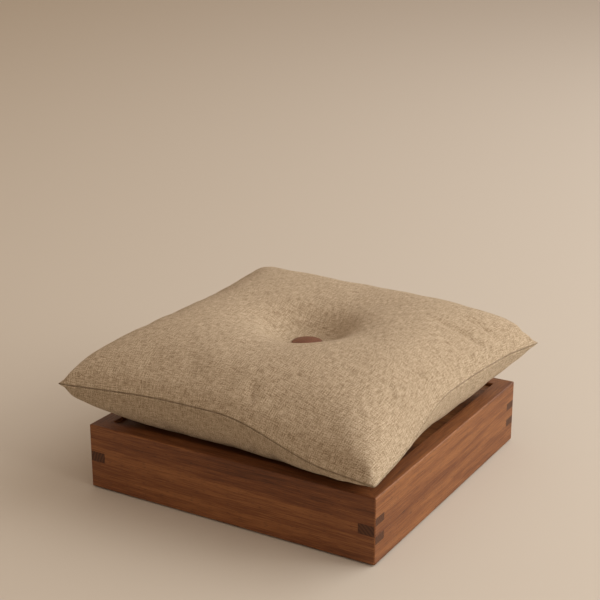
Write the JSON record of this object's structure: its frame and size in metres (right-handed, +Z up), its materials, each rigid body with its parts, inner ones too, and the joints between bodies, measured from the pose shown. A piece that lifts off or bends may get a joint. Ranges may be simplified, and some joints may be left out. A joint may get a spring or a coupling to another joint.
{
  "type": "floor cushion",
  "caption": "Square button-tufted floor cushion with knife-edge seams, lying loose on a low box base of finger-jointed hardwood with an inset deck.",
  "frame": {"origin": "middle of the base in plan, on the floor under the felt pads; the loose cushion's own middle lies 3.5 mm left and 3 mm in front of it", "axes": "+Z up; the front board faces -Y and the right board faces +X; the cushion is turned 1.5 degrees clockwise from above"},
  "size_m": [0.6298, 0.6298, 0.2734],
  "materials": {
    "hardwood_board": "oiled hardwood, satin, end grain darker",
    "hardwood_deck": "oiled hardwood panel, satin",
    "softwood_batten": "planed softwood, unfinished",
    "screw_steel": "zinc plated",
    "felt": "pressed felt",
    "linen_weave": "natural linen, plain weave, matt",
    "cotton_ticking": "tight cotton, matt",
    "fibre_fill": "loose fibre",
    "button_leather": "brown leather over a domed blank, satin",
    "shank_steel": "bright wire and plate",
    "waxed_twine": "waxed linen twine",
    "zip_tape": "woven polyester tape",
    "zip_nylon": "nylon coil",
    "zip_metal": "antique nickel"
  },
  "bodies": {
    "base": {"front_board": "hardwood_board", "back_board": "hardwood_board", "left_board": "hardwood_board", "right_board": "hardwood_board", "deck_panel": "hardwood_deck", "front_cleat": "softwood_batten", "back_cleat": "softwood_batten", "left_cleat": "softwood_batten", "right_cleat": "softwood_batten", "deck_bearer": "softwood_batten", "corner_block_front_left": "softwood_batten", "corner_block_front_right": "softwood_batten", "corner_block_back_left": "softwood_batten", "corner_block_back_right": "softwood_batten", "cleat_screws": "screw_steel", "deck_screws": "screw_steel", "foot_pad_front_left": "felt", "foot_pad_front_right": "felt", "foot_pad_back_left": "felt", "foot_pad_back_right": "felt"},
    "cushion": {"cover_top": "linen_weave", "cover_bottom": "linen_weave", "case_top": "cotton_ticking", "case_bottom": "cotton_ticking", "filling": "fibre_fill", "top_button": "button_leather", "bottom_button": "button_leather", "top_button_shank": "shank_steel", "bottom_button_shank": "shank_steel", "tufting_twine": "waxed_twine", "zip_tape_upper": "zip_tape", "zip_tape_lower": "zip_tape", "zip_coil_upper": "zip_nylon", "zip_coil_lower": "zip_nylon", "zip_end_stops": "zip_metal"},
    "zip_slider": {"zip_slider": "zip_metal"},
    "zip_pull": {"zip_pull": "zip_metal"}
  },
  "joints": [
    {"name": "cushion_lift", "type": "slide", "parent": "base", "child": "cushion", "axis": [0, 0, 1], "range_m": [0, 0.25]},
    {"name": "zip_slide", "type": "slide", "parent": "cushion", "child": "zip_slider", "axis": [-0.9997, 0.0262, 0], "range_m": [0, 0.3139]},
    {"name": "pull_swing", "type": "hinge", "parent": "zip_slider", "child": "zip_pull", "pos_m": [0.16102, 0.27449, 0.199], "axis": [0.9997, -0.0262, 0], "range_deg": [-8, 120]}
  ]
}
